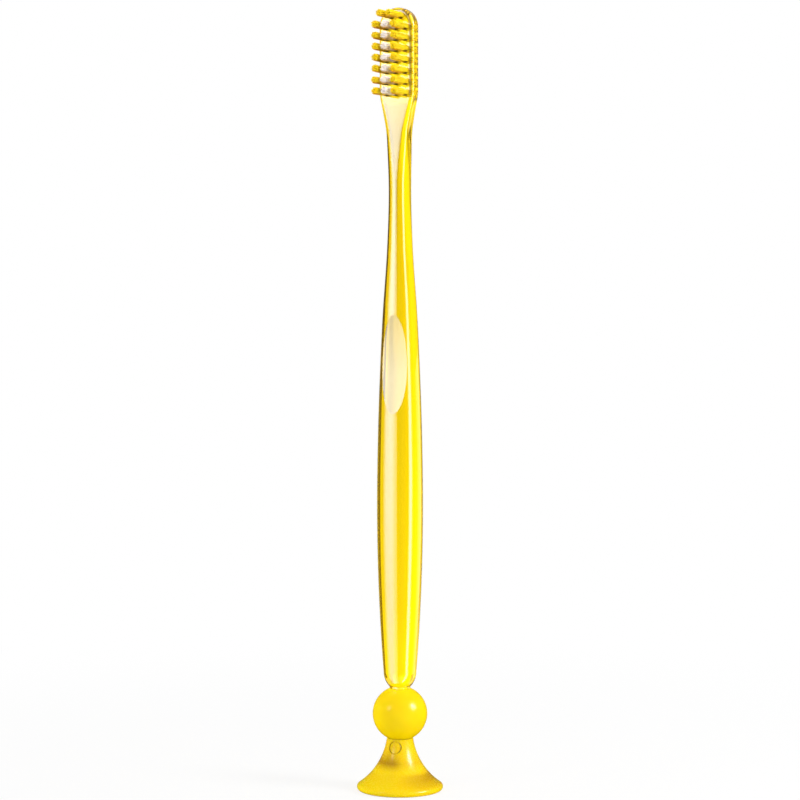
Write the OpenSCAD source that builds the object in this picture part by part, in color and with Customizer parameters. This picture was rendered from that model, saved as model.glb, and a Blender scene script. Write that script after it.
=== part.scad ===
// Manual toothbrush with a clear yellow handle that stands on a soft ball and suction cup.
// Millimetres. Origin at the bottom centre of the cup's rim, +Z up, bristles point to -Y.

/* [Overall] */
// Height from the surface to the tip of the head
total_h = 185; // [165:1:205]
// Radial clearance between pieces that turn or slide on each other
fit_gap = 0.05; // [0.03:0.01:0.1]

/* [Head] */
// Width of the head
head_w = 8.9; // [8.4:0.1:11]
// Thickness of the head from its bristle face to its back
head_d = 3.9; // [3.6:0.1:5.5]
// Length of the head before it starts to narrow
head_l = 19.7; // [19:0.1:24]
// Distance of the bristle face in front of the handle's axis
face_out = 2.7; // [2.2:0.1:3.4]
// Rounding of the head's edges
head_edge_r = 1.2; // [0.6:0.1:1.6]

/* [Handle] */
// Length over which the head narrows to the thinnest part of the neck
throat_l = 23.3; // [16:0.1:30]
// Width of the neck at its thinnest
neck_w = 5.06; // [4.6:0.02:6.5]
// Depth of the neck at its thinnest, front to back
neck_d = 6.7; // [5:0.1:7.5]
// Width of the grip at its fullest
grip_w = 10.9; // [9.5:0.1:13]
// Depth of the grip at its fullest, front to back
grip_d = 10.7; // [9.5:0.1:13]
// Height of the fullest part of the grip above the surface
grip_z = 68; // [55:1:80]
// Width and depth of the handle where its tail starts to round in
tail_d = 7.75; // [6.5:0.05:9]
// Radius of the rounded tail
tail_r = 5; // [4.5:0.1:8]
// Height of the rounded tail
tail_h = 3.3; // [2:0.1:3.5]

/* [Thumb rest] */
// Length of the scooped thumb rest
thumb_l = 23.7; // [15:0.1:30]
// Depth of the scoop at its middle
thumb_depth = 1.2; // [0.6:0.1:1.6]
// Height of the middle of the thumb rest above the surface
thumb_z = 101.5; // [95:0.5:108]

/* [Tail peg] */
// Diameter of the peg under the tail
peg_d = 4.9; // [4:0.1:5]
// Length of the peg
peg_l = 8.4; // [7:0.1:8.8]
// Bare length of the peg between the ball and the tail
peg_bare_l = 0.6; // [0.3:0.1:1.5]
// Chamfer at the peg's tip
peg_chamfer = 0.5; // [0.2:0.1:0.8]

/* [Ball] */
// Diameter of the soft ball
ball_d = 13; // [12.6:0.1:16]

/* [Suction cup] */
// Height of the cup up to the edge of the ball's seat
cup_h = 12.5; // [11:0.1:15]
// Diameter of the cup at the edge of the ball's seat
cup_top_d = 6.24; // [5.8:0.02:7]
// Diameter of the cup at its rim
cup_d = 20.5; // [19:0.1:24]
// Radius of the hollow flare between the two
flare_r = 16; // [15:0.5:24]
// Rounding of the rim
rim_r = 0.85; // [0.6:0.05:1]
// Width of the flat land round the ball's seat
seat_land = 0.12; // [0.1:0.02:0.4]
// Diameter of the hollow under the cup
hollow_d = 17.8; // [15:0.1:18]
// Height of the hollow under the cup
hollow_h = 4.8; // [4:0.1:5.2]
// Diameter of the round moulded mark on the front of the cup's neck
mark_d = 2.8; // [2:0.1:3.2]
// Width of the mark's groove
mark_w = 0.2; // [0.1:0.05:0.4]
// Depth of the mark's groove
mark_depth = 0.15; // [0.05:0.05:0.3]
// Distance of the mark's centre below the edge of the ball's seat
mark_drop = 1.9; // [1.7:0.05:2.8]

/* [Snap stud] */
// Diameter of the stud's stem on top of the cup
stem_d = 2.2; // [1.8:0.1:2.6]
// Length of the stem above the seat
stem_l = 1.6; // [1.2:0.1:1.8]
// Diameter of the stud's head, held inside the ball
stud_d = 3.4; // [3:0.1:4]
// Height of the stud's head
stud_h = 1.7; // [1.2:0.1:1.9]
// Chamfer on the stud's head
stud_chamfer = 0.5; // [0.2:0.1:0.8]

/* [Bristles] */
// Rows of tufts: two tufts in the first row and three in each of the others
rows = 8; // [5:1:8]
// Distance between rows
row_pitch = 2.56; // [2.3:0.02:2.6]
// Distance between the tufts of a row
tuft_pitch = 2.3; // [2.1:0.05:2.5]
// Distance of the first row from the tip of the head
first_row = 2.05; // [1.9:0.05:2.4]
// Diameter of a tuft hole
hole_d = 1.65; // [1.45:0.05:1.75]
// Depth of a tuft hole
hole_l = 2.9; // [2.4:0.1:3.1]
// Length of the bristles in front of the head
bristle_l = 8.6; // [7:0.1:11]
// Diameter of a tuft at its tips
tuft_tip_d = 1.84; // [1.7:0.02:2]
// Width of one bristle across its corners
bristle_d = 0.24; // [0.18:0.02:0.26]
// Width of the flat metal anchor that holds a tuft in its hole
anchor_w = 1.9; // [1.8:0.05:2.05]
// Height of the anchor
anchor_h = 1.4; // [1:0.1:1.8]
// Thickness of the anchor
anchor_t = 0.25; // [0.2:0.05:0.35]

/* [Hidden] */
$fn = 64;
// Overrun of every cut past the surface that it opens
cut_over = 1;
// Clearance round a tuft's root in its hole
root_gap = 0.02;
// Gap under the peg's tip and over the stud's head
end_gap = 0.1;

// The ball rests in the cup's seat, and the peg stands in the ball
seat_r = ball_d / 2 + fit_gap;
ball_z = cup_h + sqrt(pow(seat_r, 2) - pow(cup_top_d / 2 - seat_land, 2));
shoulder_z = ball_z + sqrt(pow(ball_d, 2) - pow(peg_d, 2)) / 2 + peg_bare_l;
tail_z = shoulder_z + tail_h;
peg_tip_z = shoulder_z - peg_l;

// The head and the neck are set out from the tip down
head_z = total_h - head_l;
neck_z = head_z - throat_l;
dome_r = head_w / 2;
dome_z = total_h - dome_r;

// The flare is one arc from the seat's edge to the rim's rounding, tangent to it
rim_x = cup_d / 2 - rim_r;
flare_a = [cup_top_d / 2, cup_h];
flare_b = [rim_x, rim_r];
flare_ab = norm(flare_b - flare_a);
flare_along = (pow(flare_ab, 2) + pow(flare_r, 2) - pow(flare_r + rim_r, 2)) / (2 * flare_ab);
flare_side = sqrt(pow(flare_r, 2) - pow(flare_along, 2));
flare_dir = (flare_b - flare_a) / flare_ab;
flare_c = flare_a + flare_along * flare_dir + flare_side * [-flare_dir[1], flare_dir[0]];
rim_touch = flare_b + (flare_c - flare_b) * rim_r / (flare_r + rim_r);
hollow_r = (pow(hollow_d / 2, 2) + pow(hollow_h, 2)) / (2 * hollow_h);
mark_z = cup_h - mark_drop;

// The snap stud stands on the seat's lowest point
seat_z = ball_z - seat_r;
stud_z = seat_z + stem_l;

// How the handle goes from grip to neck: distance along, then how much of the grip's extra size is left
fall_shares = [[0, 1], [0.24, 0.91], [0.43, 0.74], [0.62, 0.5], [0.81, 0.155], [1, 0]];
// How the neck widens to the head: distance along, then how much of the extra width is there
rise_shares = [[0, 0], [0.35, 0.05], [0.6, 0.16], [0.79, 0.54], [0.91, 0.84], [1, 1]];

// Sides of the handle's rings, and the number of rings in each stretch
sides = 32;
tail_rings = 6;
body_rings = 26;
throat_rings = 12;
dome_rings = 9;
dome_turn = 88;

// Every tuft: its name, its place across the head and its height
ROW_SIDES = [["left", -1], ["middle", 0], ["right", 1]];
FIRST_SIDES = [["left", -0.5], ["right", 0.5]];
TUFTS = [
    for (i = [0:rows - 1])
        for (side = i == 0 ? FIRST_SIDES : ROW_SIDES)
            [str("tuft_row", i + 1, "_", side[0]), side[1] * tuft_pitch, total_h - first_row - i * row_pitch]
];

// Smooth curve through hand-set keys, level at both ends
function key_slope(keys, i) =
    i == 0 || i == len(keys) - 1 ? 0
    : (keys[i + 1][1] - keys[i - 1][1]) / (keys[i + 1][0] - keys[i - 1][0]);
function eased(keys, at, i = 0) =
    i + 2 < len(keys) && at > keys[i + 1][0] ? eased(keys, at, i + 1)
    : let (
        span = keys[i + 1][0] - keys[i][0],
        t = (at - keys[i][0]) / span,
        rest = 1 - t
    )
    keys[i][1] * rest * rest * (1 + 2 * t) + keys[i + 1][1] * t * t * (1 + 2 * rest)
    + span * rest * t * (rest * key_slope(keys, i) - t * key_slope(keys, i + 1));
function mix(low, high, share) = low + (high - low) * share;
function held(share) = max(0, min(1, share));
function smooth(share) = let (t = held(share)) t * t * (3 - 2 * t);

// Where a height lies in the tail, grip and throat stretches, each from 0 to 1
function below_grip(z) = held((grip_z - z) / (grip_z - tail_z));
function above_grip(z) = held((z - grip_z) / (neck_z - grip_z));
function up_throat(z) = held((z - neck_z) / throat_l);

// Size of the handle's section across one direction, from its four named sizes
function section_size(z, tail, grip, neck, head, rise) =
    z <= grip_z ? mix(grip, tail, pow(below_grip(z), 2))
    : z <= neck_z ? mix(neck, grip, eased(fall_shares, above_grip(z)))
    : mix(neck, head, rise);

// How far the surface draws in over the round tail and over the edge of the head's tip
function tail_draw(z) = tail_r - sqrt(pow(tail_r, 2) - pow(max(0, tail_z - z), 2));
function tip_draw(z) =
    let (up = max(0, z - total_h + head_edge_r)) head_edge_r - sqrt(pow(head_edge_r, 2) - pow(up, 2));
// Half-width of the round tip of the head
function dome_half(z) = sqrt(max(0, pow(dome_r, 2) - pow(max(0, z - dome_z), 2)));

function half_w(z) =
    z > dome_z ? dome_half(z)
    : section_size(z, tail_d, grip_w, neck_w, head_w, eased(rise_shares, up_throat(z))) / 2 - tail_draw(z);
function half_d(z) =
    section_size(z, tail_d, grip_d, neck_d, head_d, smooth(up_throat(z))) / 2 - tail_draw(z) - tip_draw(z);
function mid_y(z) = mix(0, head_d / 2 - face_out, smooth(up_throat(z)));
// Corner radius of a section: the whole half size makes an ellipse, and the head has round edges
function corner(z, half) = min(half, mix(half, head_edge_r, smooth(up_throat(z))));

function ring(z) =
    let (w = half_w(z), d = half_d(z), rw = corner(z, w), rd = corner(z, d))
    [
        for (i = [0:sides - 1])
            let (turn = 360 * (i + 0.5) / sides)
            [
                sign(cos(turn)) * (w - rw) + rw * cos(turn),
                mid_y(z) + sign(sin(turn)) * (d - rd) + rd * sin(turn),
                z
            ]
    ];

// Heights of the rings from the shoulder up to the tip
RING_ZS = concat(
    [for (i = [0:tail_rings - 1]) tail_z - tail_h * cos(90 * i / tail_rings)],
    [for (i = [0:body_rings - 1]) mix(tail_z, neck_z, i / body_rings)],
    [for (i = [0:throat_rings]) mix(neck_z, head_z, i / throat_rings)],
    [for (i = [0:dome_rings]) dome_z + dome_r * sin(dome_turn * i / dome_rings)]
);

module swept_body() {
    last = len(RING_ZS) - 1;
    points = [for (z = RING_ZS) each ring(z)];
    skin = [
        for (i = [0:last - 1])
            for (j = [0:sides - 1])
                let (a = i * sides + j, b = i * sides + (j + 1) % sides)
                each [[a, b, b + sides], [a, b + sides, a + sides]]
    ];
    bottom = [[for (j = [0:sides - 1]) sides - 1 - j]];
    top = [[for (j = [0:sides - 1]) last * sides + j]];
    // Each face is listed clockwise as seen from outside
    polyhedron(points, [for (face = concat(skin, bottom, top)) [for (i = [1:len(face)]) face[len(face) - i]]]);
}

// Scoop under the thumb: a wide drum laid across the front, square to the handle's slope there
module thumb_scoop() {
    slope = (half_d(thumb_z + thumb_l / 2) - half_d(thumb_z - thumb_l / 2)) / thumb_l;
    drum_r = (pow(thumb_l / 2, 2) + pow(thumb_depth, 2)) / (2 * thumb_depth);
    out = [0, -1, -slope] / norm([1, slope]);
    translate([0, -half_d(thumb_z), thumb_z] + (drum_r - thumb_depth) * out)
        rotate([0, 90, 0])
            cylinder(r = drum_r, h = grip_w, center = true, $fn = 256);
}

// Child drawn at a tuft's hole, with +Z pointing out of the bristle face
module at_tuft(t) {
    translate([t[1], -face_out, t[2]])
        rotate([90, 0, 0])
            children();
}

module anchor_plate() {
    translate([-anchor_t / 2, -anchor_w / 2, -hole_l])
        cube([anchor_t, anchor_w, anchor_h]);
}

module peg() {
    straight_l = peg_l - peg_chamfer + cut_over;
    translate([0, 0, peg_tip_z + peg_chamfer])
        cylinder(d = peg_d, h = straight_l);
    translate([0, 0, peg_tip_z])
        cylinder(d1 = peg_d - 2 * peg_chamfer, d2 = peg_d, h = peg_chamfer);
}

module handle() {
    color([0.96, 0.86, 0.25])
        difference() {
            union() {
                swept_body();
                peg();
            }
            thumb_scoop();
            for (t = TUFTS)
                at_tuft(t) {
                    translate([0, 0, -hole_l])
                        cylinder(d = hole_d, h = hole_l + cut_over, $fn = 32);
                    anchor_plate();
                }
        }
}

module tuft_anchors() {
    color([0.8, 0.7, 0.45])
        for (t = TUFTS)
            at_tuft(t) anchor_plate();
}

// One bristle of a tuft, drawn from inside the root and leaning outwards with its share of the radius
module bristle(share) {
    root_r = share * (hole_d - bristle_d) / 2 - share * root_gap;
    lean = atan(share * (tuft_tip_d - hole_d) / 2 / bristle_l);
    translate([root_r, 0, -bristle_d])
        rotate([0, lean, 0])
            cylinder(d = bristle_d, h = bristle_l + bristle_d, $fn = 4);
}

// A tuft: its root, folded round the anchor, and 19 bristles in the middle and two circles
module tuft(t, tint) {
    color(tint)
        at_tuft(t) {
            difference() {
                translate([0, 0, -hole_l])
                    cylinder(r = hole_d / 2 - root_gap, h = hole_l, $fn = 32);
                anchor_plate();
            }
            bristle(0);
            for (circle_no = [1:2])
                for (i = [1:6 * circle_no])
                    rotate(360 * i / (6 * circle_no))
                        bristle(circle_no / 2);
        }
}

module ball() {
    color([0.95, 0.85, 0.05])
        difference() {
            translate([0, 0, ball_z])
                sphere(d = ball_d, $fn = 96);
            // Bore for the handle's peg
            translate([0, 0, peg_tip_z - end_gap])
                cylinder(r = peg_d / 2 + fit_gap, h = ball_d);
            // Undercut socket for the cup's snap stud
            translate([0, 0, seat_z - cut_over])
                cylinder(r = stem_d / 2 + fit_gap, h = cut_over + stem_l + fit_gap);
            translate([0, 0, stud_z - fit_gap])
                cylinder(r = stud_d / 2 + fit_gap, h = stud_h + fit_gap + end_gap);
        }
}

// Cup's solid outline, drawn in by a depth on its flare
module cup_outline(depth = 0) {
    difference() {
        square([rim_touch[0], cup_h]);
        translate(flare_c)
            circle(r = flare_r + depth, $fn = 256);
    }
}

module snap_stud() {
    translate([0, 0, seat_z - seat_land])
        cylinder(d = stem_d, h = stem_l + stud_h / 2 + seat_land);
    translate([0, 0, stud_z])
        cylinder(d = stud_d, h = stud_h - stud_chamfer);
    translate([0, 0, stud_z + stud_h - stud_chamfer])
        cylinder(d1 = stud_d, d2 = stud_d - 2 * stud_chamfer, h = stud_chamfer);
}

// Groove of the round mark, of even depth all round
module ring_mark() {
    difference() {
        translate([0, 0, mark_z])
            rotate([90, 0, 0])
                difference() {
                    cylinder(d = mark_d + mark_w, h = cup_d / 2);
                    translate([0, 0, -cut_over])
                        cylinder(d = mark_d - mark_w, h = cup_d / 2 + 2 * cut_over);
                }
        rotate_extrude($fn = 96)
            cup_outline(mark_depth);
    }
}

module suction_cup() {
    color([0.93, 0.8, 0.05]) {
        difference() {
            rotate_extrude($fn = 96) {
                cup_outline();
                translate([rim_x, rim_r])
                    circle(r = rim_r);
            }
            translate([0, 0, hollow_h - hollow_r])
                sphere(r = hollow_r, $fn = 96);
            translate([0, 0, ball_z])
                sphere(r = seat_r, $fn = 96);
            ring_mark();
        }
        snap_stud();
    }
}

handle();
tuft_anchors();
ball();
suction_cup();
for (t = TUFTS)
    tuft(t, t[1] == 0 ? [0.95, 0.92, 0.88] : [0.93, 0.8, 0.1]);
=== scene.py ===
# %% [markdown]
# # A clear toothbrush on a suction cup
#
# This lesson dresses a toothbrush whose construction was made in CAD. The CAD file gives every
# piece its size and place. Here each visible piece gets its finished mesh and its material.
# All lengths of the object are written in millimetres and turned into Blender's metres by MM.

import math
import random

import bmesh
import bpy
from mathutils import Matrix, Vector


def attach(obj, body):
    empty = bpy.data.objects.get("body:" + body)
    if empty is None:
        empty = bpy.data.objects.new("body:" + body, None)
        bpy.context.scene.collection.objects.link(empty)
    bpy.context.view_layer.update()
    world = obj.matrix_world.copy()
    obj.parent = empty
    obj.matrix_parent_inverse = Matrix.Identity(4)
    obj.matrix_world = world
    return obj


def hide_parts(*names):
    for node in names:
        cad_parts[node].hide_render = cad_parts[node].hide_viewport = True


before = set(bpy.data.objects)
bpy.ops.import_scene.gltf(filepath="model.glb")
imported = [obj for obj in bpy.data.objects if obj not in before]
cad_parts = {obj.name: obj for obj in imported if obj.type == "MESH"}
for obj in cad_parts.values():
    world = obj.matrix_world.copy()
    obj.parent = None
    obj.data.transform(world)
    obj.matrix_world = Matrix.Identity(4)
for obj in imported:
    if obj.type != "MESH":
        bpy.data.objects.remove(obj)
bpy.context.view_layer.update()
MM = 0.001
DEG = math.radians(1)
bpy.ops.object.select_all(action="DESELECT")


# %% [markdown]
# ## The sizes that the pieces share
#
# The real brush is one moulding with tufts pressed into its head. Its outline could be traced
# with many points, but a few named sizes and two easing curves say the same thing and are easy
# to change. They repeat the CAD source, so a finished piece lies exactly on its CAD solid.

# %% Overall sizes, head and handle
TOTAL_H = 185.0
FIT_GAP = 0.05
HEAD_W = 8.9
HEAD_D = 3.9
HEAD_L = 19.7
FACE_OUT = 2.7
HEAD_EDGE_R = 1.2
THROAT_L = 23.3
NECK_W = 5.06
NECK_D = 6.7
GRIP_W = 10.9
GRIP_D = 10.7
GRIP_Z = 68.0
TAIL_D = 7.75
TAIL_R = 5.0
TAIL_H = 3.3

HEAD_Z = TOTAL_H - HEAD_L
NECK_Z = HEAD_Z - THROAT_L
DOME_R = HEAD_W / 2
DOME_Z = TOTAL_H - DOME_R
print("neck at", round(NECK_Z, 2), "mm, head from", round(HEAD_Z, 2), "to", TOTAL_H, "mm")

# %% Tail peg, ball and cup
PEG_D = 4.9
PEG_L = 8.4
PEG_BARE_L = 0.6
PEG_CHAMFER = 0.5
BALL_D = 13.0
CUP_H = 12.5
CUP_TOP_D = 6.24
CUP_D = 20.5
FLARE_R = 16.0
RIM_R = 0.85
SEAT_LAND = 0.12
HOLLOW_D = 17.8
HOLLOW_H = 4.8
STEM_D = 2.2
STEM_L = 1.6
STUD_D = 3.4
STUD_H = 1.7
STUD_CHAMFER = 0.5

BALL_R = BALL_D / 2
SEAT_R = BALL_R + FIT_GAP
BALL_Z = CUP_H + math.sqrt(SEAT_R ** 2 - (CUP_TOP_D / 2 - SEAT_LAND) ** 2)
SHOULDER_Z = BALL_Z + math.sqrt(BALL_D ** 2 - PEG_D ** 2) / 2 + PEG_BARE_L
TAIL_Z = SHOULDER_Z + TAIL_H
PEG_TIP_Z = SHOULDER_Z - PEG_L
STUD_Z = BALL_Z - SEAT_R + STEM_L
print("ball centre", round(BALL_Z, 2), "mm, shoulder", round(SHOULDER_Z, 2), "mm")

# %% Thumb rest, mark and tufts
THUMB_L = 23.7
THUMB_DEPTH = 1.2
THUMB_Z = 101.5
MARK_D = 2.8
MARK_GROOVE_R = 0.14
MARK_Z = CUP_H - 1.9
ROWS = 8
ROW_PITCH = 2.56
TUFT_PITCH = 2.3
FIRST_ROW = 2.05
HOLE_D = 1.65
HOLE_L = 2.9
BRISTLE_L = 8.6
TUFT_TIP_D = 1.84
ANCHOR_H = 1.4
ANCHOR_T = 0.25

ROW_SIDES = {"left": -1, "middle": 0, "right": 1}
FIRST_SIDES = {"left": -0.5, "right": 0.5}


def tuft_places():
    """Name, place across the head and height of every tuft, from the first row down."""
    places = []
    for row in range(ROWS):
        height = TOTAL_H - FIRST_ROW - row * ROW_PITCH
        for side, share in (ROW_SIDES if row else FIRST_SIDES).items():
            places.append((f"tuft_row{row + 1}_{side}", share * TUFT_PITCH, height))
    return places


TUFTS = tuft_places()
print("tufts:", len(TUFTS))


# %% [markdown]
# ## The camera
#
# The photograph was taken with a long lens, a little above the middle of the brush and to its
# right. The brush's height in the picture and the narrow ellipse of the seam under the ball
# fix the distance and the height.

# %% Camera
CAMERA_AZIMUTH = 20 * DEG
CAMERA_DISTANCE = 604.5
CAMERA_HEIGHT = 123.6
CAMERA_TILT = 2.905 * DEG
LENS = 115.2
CLIP_START = 10.0

bpy.ops.object.camera_add(
    location=(
        math.sin(CAMERA_AZIMUTH) * CAMERA_DISTANCE * MM,
        -math.cos(CAMERA_AZIMUTH) * CAMERA_DISTANCE * MM,
        CAMERA_HEIGHT * MM,
    ),
    rotation=(math.pi / 2 - CAMERA_TILT, 0, CAMERA_AZIMUTH),
)
camera = bpy.context.object
camera.data.lens = LENS
camera.data.clip_start = CLIP_START * MM
bpy.context.scene.camera = camera
print("camera at", [round(value, 3) for value in camera.location])


# %% [markdown]
# ## Small helpers
#
# Pieces are shaped as by hand: a ring is extruded, moved and resized again and again. These
# helpers hold the few steps that every piece needs. Rings are found by what is selected, so
# everything is deselected before a new piece starts.

# %% Selection helpers
def only(piece):
    """Makes one object the only selected and active one."""
    bpy.ops.object.select_all(action="DESELECT")
    piece.select_set(True)
    bpy.context.view_layer.objects.active = piece


def fresh(add_primitive, **settings):
    """Adds a primitive with nothing else selected, and returns it."""
    bpy.ops.object.select_all(action="DESELECT")
    add_primitive(**settings)
    return bpy.context.object


def select_where(piece, wanted, among_selected=False):
    """In edit mode, selects the vertices whose place passes a test, and the faces between them."""
    mesh = bmesh.from_edit_mesh(piece.data)
    chosen = [vert for vert in mesh.verts if (vert.select or not among_selected) and wanted(vert.co)]
    for elements in (mesh.faces, mesh.edges, mesh.verts):
        for element in elements:
            element.select_set(False)
    for vert in chosen:
        vert.select_set(True)
    mesh.select_flush(True)
    bmesh.update_edit_mesh(piece.data)


def finish_piece(piece, name, crease_deg=35):
    """Names a piece, puts its place into its mesh, and smooths all but its sharp edges."""
    only(piece)
    bpy.ops.object.transform_apply(location=True, rotation=True, scale=True)
    piece.name = name
    piece.data.name = name
    bpy.ops.object.shade_smooth_by_angle(angle=crease_deg * DEG)
    print(name, "faces:", len(piece.data.polygons))
    return piece


# %% Start a ring and extrude it
def start_ring(radius, height, sides, fill="NGON"):
    """Adds a round ring that faces up, turned by half a step, and goes into edit mode."""
    piece = fresh(
        bpy.ops.mesh.primitive_circle_add, vertices=sides, radius=radius * MM, fill_type=fill,
        location=(0, 0, height * MM),
    )
    bpy.ops.object.transform_apply(location=True)
    bpy.ops.object.mode_set(mode="EDIT")
    bpy.ops.mesh.select_all(action="SELECT")
    bpy.ops.transform.rotate(value=math.pi / sides, orient_axis="Z", center_override=(0, 0, 0))
    return piece


def extrude(x, y, z):
    """Extrudes the selection by so many millimetres."""
    bpy.ops.mesh.extrude_region_move(TRANSFORM_OT_translate={"value": (x * MM, y * MM, z * MM)})


def resize_ring(across, deep, centre_y, height):
    """Scales the selected ring about its own centre."""
    bpy.ops.transform.resize(
        value=(across, deep, 1), center_override=(0, centre_y * MM, height * MM)
    )


def pull_ring(profile):
    """Extrudes the ring from the first of a profile's (radius, height) points to the last."""
    for (old_r, old_z), (radius, height) in zip(profile, profile[1:]):
        extrude(0, 0, height - old_z)
        resize_ring(radius / old_r, radius / old_r, 0, height)


def close_mesh():
    """Turns all faces outwards and leaves edit mode."""
    bpy.ops.mesh.select_all(action="SELECT")
    bpy.ops.mesh.normals_make_consistent(inside=False)
    bpy.ops.object.mode_set(mode="OBJECT")


def lathe(profile, sides):
    """A round piece from the (radius, height) points of its profile, closed at both ends."""
    piece = start_ring(*profile[0], sides)
    pull_ring(profile)
    close_mesh()
    return piece


# %% Cut one shape out of another, and join shapes
def cut(piece, cutter):
    """Takes a cutter's shape out of a piece and removes the cutter."""
    only(piece)
    boolean = piece.modifiers.new("cut", "BOOLEAN")
    boolean.operation = "DIFFERENCE"
    boolean.solver = "EXACT"
    boolean.object = cutter
    bpy.ops.object.modifier_apply(modifier=boolean.name)
    bpy.data.objects.remove(cutter)


def join(parts):
    """Joins objects into the first of them."""
    only(parts[0])
    for part in parts:
        part.select_set(True)
    bpy.ops.object.join()
    return parts[0]


# %% [markdown]
# ## The handle's shape
#
# The handle is injection moulded in one go, from the peg at its tail to the round tip of its
# head. It could be a subdivided cage, but a cage rounds off the head's flat plate. Rings of 64
# points that follow the section at each height keep the plate flat and the grip round.

# %% Easing curves
FALL_KEYS = [(0, 1), (0.24, 0.91), (0.43, 0.74), (0.62, 0.5), (0.81, 0.155), (1, 0)]
RISE_KEYS = [(0, 0), (0.35, 0.05), (0.6, 0.16), (0.79, 0.54), (0.91, 0.84), (1, 1)]


def key_slope(keys, i):
    """Slope of the easing curve at a key, level at both ends."""
    if i == 0 or i == len(keys) - 1:
        return 0
    return (keys[i + 1][1] - keys[i - 1][1]) / (keys[i + 1][0] - keys[i - 1][0])


def eased(keys, at):
    """Value of the smooth curve through the keys."""
    i = 0
    while i + 2 < len(keys) and at > keys[i + 1][0]:
        i += 1
    span = keys[i + 1][0] - keys[i][0]
    t = (at - keys[i][0]) / span
    rest = 1 - t
    ends = keys[i][1] * rest ** 2 * (1 + 2 * t) + keys[i + 1][1] * t ** 2 * (1 + 2 * rest)
    return ends + span * rest * t * (rest * key_slope(keys, i) - t * key_slope(keys, i + 1))


def mix(low, high, share):
    return low + (high - low) * share


def held(share):
    return max(0.0, min(1.0, share))


def smooth(share):
    t = held(share)
    return t * t * (3 - 2 * t)


print("widest to narrowest:", [round(eased(FALL_KEYS, at / 4), 2) for at in range(5)])


# %% How the section changes with height
def up_throat(z):
    return held((z - NECK_Z) / THROAT_L)


def section_size(z, tail, grip, neck, head, rise):
    """Full size of the section in one direction."""
    if z <= GRIP_Z:
        return mix(grip, tail, held((GRIP_Z - z) / (GRIP_Z - TAIL_Z)) ** 2)
    if z <= NECK_Z:
        return mix(neck, grip, eased(FALL_KEYS, held((z - GRIP_Z) / (NECK_Z - GRIP_Z))))
    return mix(neck, head, rise)


def drawn_in(radius, beyond):
    """How far a rounded end has drawn in, so far beyond the place where it starts."""
    return radius - math.sqrt(radius ** 2 - max(0, beyond) ** 2)


def half_w(z):
    """Half of the handle's width, side to side."""
    if z > DOME_Z:
        return math.sqrt(max(0, DOME_R ** 2 - (z - DOME_Z) ** 2))
    rise = eased(RISE_KEYS, up_throat(z))
    size = section_size(z, TAIL_D, GRIP_W, NECK_W, HEAD_W, rise)
    return size / 2 - drawn_in(TAIL_R, TAIL_Z - z)


def half_d(z):
    """Half of the handle's depth, front to back."""
    size = section_size(z, TAIL_D, GRIP_D, NECK_D, HEAD_D, smooth(up_throat(z)))
    tip = drawn_in(HEAD_EDGE_R, z - TOTAL_H + HEAD_EDGE_R)
    return size / 2 - drawn_in(TAIL_R, TAIL_Z - z) - tip


def mid_y(z):
    return mix(0, HEAD_D / 2 - FACE_OUT, smooth(up_throat(z)))


def section(z):
    """Corner radii and straight halves, both across and deep, and the middle of the section."""
    halves = (half_w(z), half_d(z))
    corners = [min(half, mix(half, HEAD_EDGE_R, smooth(up_throat(z)))) for half in halves]
    return corners, [half - corner for half, corner in zip(halves, corners)], mid_y(z)


print("half width and depth at the grip:", half_w(GRIP_Z), half_d(GRIP_Z))

# %% Heights of the rings
TAIL_RINGS = 10
BODY_STEP = 2.2
THROAT_RINGS = 18
DOME_RINGS = 16
DOME_TURN = 88


def steps(low, high, count):
    """Evenly spaced values from low up to high, which is left out."""
    return [mix(low, high, i / count) for i in range(count)]


def ring_heights():
    """Heights of the handle's rings, from the shoulder to the tip."""
    zs = [TAIL_Z - TAIL_H * math.cos(math.pi / 2 * i / TAIL_RINGS) for i in range(TAIL_RINGS)]
    zs += steps(TAIL_Z, NECK_Z, round((NECK_Z - TAIL_Z) / BODY_STEP))
    zs += steps(NECK_Z, HEAD_Z, THROAT_RINGS)
    zs += steps(HEAD_Z, DOME_Z, round((DOME_Z - HEAD_Z) / BODY_STEP))
    turns = [DOME_TURN * i / DOME_RINGS * DEG for i in range(DOME_RINGS + 1)]
    return zs + [DOME_Z + DOME_R * math.sin(turn) for turn in turns]


RING_ZS = ring_heights()
print("rings:", len(RING_ZS))

# %% Extrude the handle ring by ring
HANDLE_SIDES = 64
PEG_EDGE_R = 0.12
LIP_CUT = 0.3
LEAST_SPREAD = 1e-6
RING_SLACK = 0.005


def move_half(piece, wanted, offset):
    """Moves one half of the selected ring, then selects the whole ring again."""
    height = max(vert.co.z for vert in bmesh.from_edit_mesh(piece.data).verts if vert.select)
    select_where(piece, wanted, among_selected=True)
    bpy.ops.transform.translate(value=offset)
    select_where(piece, lambda place: place.z > height - RING_SLACK * MM)


def next_section(piece, z, old, old_z):
    """Extrudes the ring to a height and gives it the section there."""
    corners, flats, mid = section(z)
    old_corners, old_flats, old_mid = old
    extrude(0, 0, z - old_z)
    grow = [corner / old_corner for corner, old_corner in zip(corners, old_corners)]
    resize_ring(*grow, old_mid, z)
    for axis, middle in enumerate((0, old_mid * MM)):
        spread = flats[axis] - grow[axis] * old_flats[axis]
        if abs(spread) > LEAST_SPREAD:
            for side in (1, -1):
                offset = [0, 0, 0]
                offset[axis] = side * spread * MM
                move_half(piece, lambda place: side * (place[axis] - middle) > 0, offset)
    bpy.ops.transform.translate(value=(0, (mid - old_mid) * MM, 0))
    return corners, flats, mid


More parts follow.
